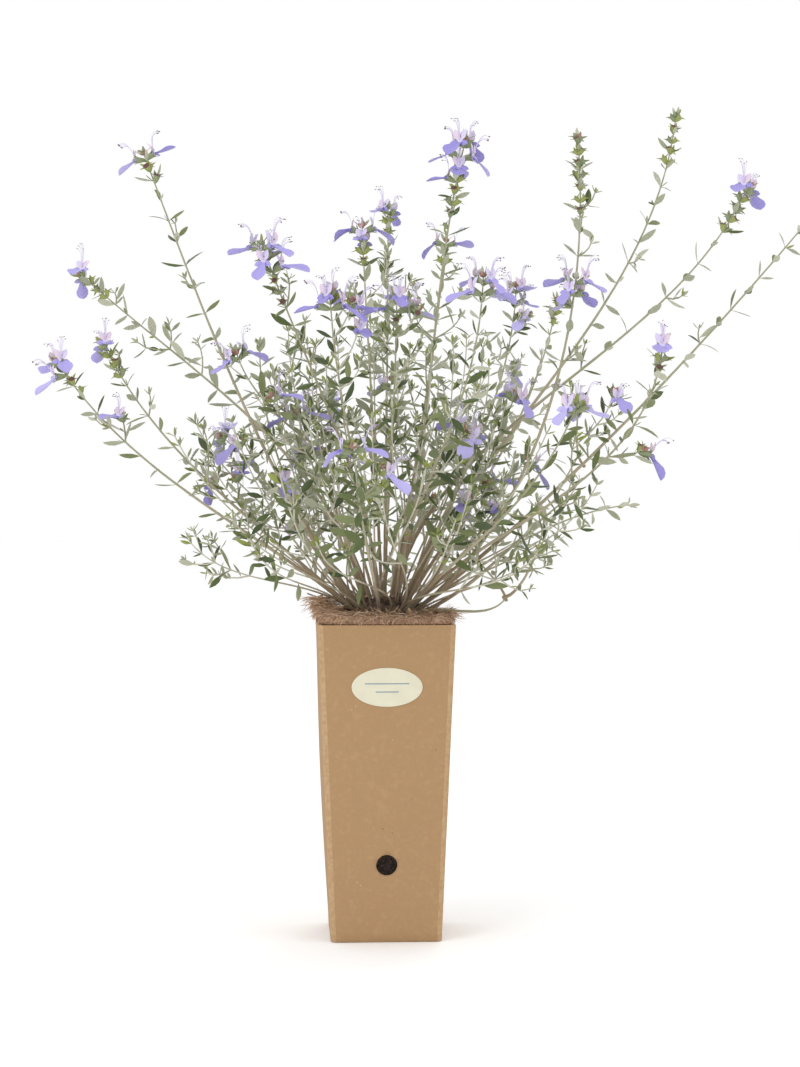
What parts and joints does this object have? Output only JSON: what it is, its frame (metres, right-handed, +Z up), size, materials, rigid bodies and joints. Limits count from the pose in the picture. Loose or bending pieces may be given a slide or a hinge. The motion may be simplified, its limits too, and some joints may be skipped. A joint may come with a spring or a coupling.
{
  "type": "potted flowering shrub",
  "caption": "Flowering shrub with grey-green felted leaves and lavender-blue flowers on thin stems from a woody stool, in a tall tapering card pot with a fibre mat.",
  "frame": {"origin": "middle of the pot's flat underside", "axes": "+Z up the plant, -Y out of the pot's side that has the label and the round hole, +X to the right of someone who looks at the label"},
  "size_m": [0.4583, 0.3495, 0.4914],
  "materials": {
    "card": "matt kraft",
    "paper": "matt",
    "soil": "matt crumb",
    "coir": "hairy fibre",
    "old_wood": "rough bark",
    "bark": "fine felt over bark",
    "foliage": "soft felt"
  },
  "bodies": {
    "root": {"bough_back_low": "bark", "bough_back_side": "bark", "bough_cut_stub": "bark", "bough_front_low": "bark", "bough_front_side": "bark", "bough_left_far": "bark", "bough_left_inner": "bark", "bough_left_light": "bark", "bough_left_low": "bark", "bough_left_pale": "bark", "bough_left_tall": "bark", "bough_loop": "bark", "bough_loop_arm": "bark", "bough_right_bloom": "bark", "bough_right_far": "bark", "bough_right_light": "bark", "bough_right_low": "bark", "bough_right_spike": "bark", "bough_right_tall": "bark", "bough_right_wide": "bark", "bough_top_cluster": "bark", "fibre_mat": "coir", "label": "paper", "pot": "card", "root_ball": "soil", "spray_back_left": "foliage", "spray_back_low": "foliage", "spray_back_right": "foliage", "spray_back_side": "foliage", "spray_front_left": "foliage", "spray_front_low": "foliage", "spray_front_middle": "foliage", "spray_front_right": "foliage", "spray_front_side": "foliage", "spray_inner_front": "foliage", "spray_inner_left": "foliage", "spray_inner_right": "foliage", "spray_left_far": "foliage", "spray_left_inner": "foliage", "spray_left_inner_side": "foliage", "spray_left_light": "foliage", "spray_left_light_side": "foliage", "spray_left_low": "foliage", "spray_left_pale": "foliage", "spray_left_tall": "foliage", "spray_loop_arm": "foliage", "spray_loop_twig": "foliage", "spray_middle_back": "foliage", "spray_middle_left": "foliage", "spray_right_bloom": "foliage", "spray_right_far": "foliage", "spray_right_far_side": "foliage", "spray_right_light": "foliage", "spray_right_low": "foliage", "spray_right_spike": "foliage", "spray_right_tall": "foliage", "spray_right_wide": "foliage", "spray_top_cluster": "foliage", "stool": "old_wood"}
  },
  "joints": []
}
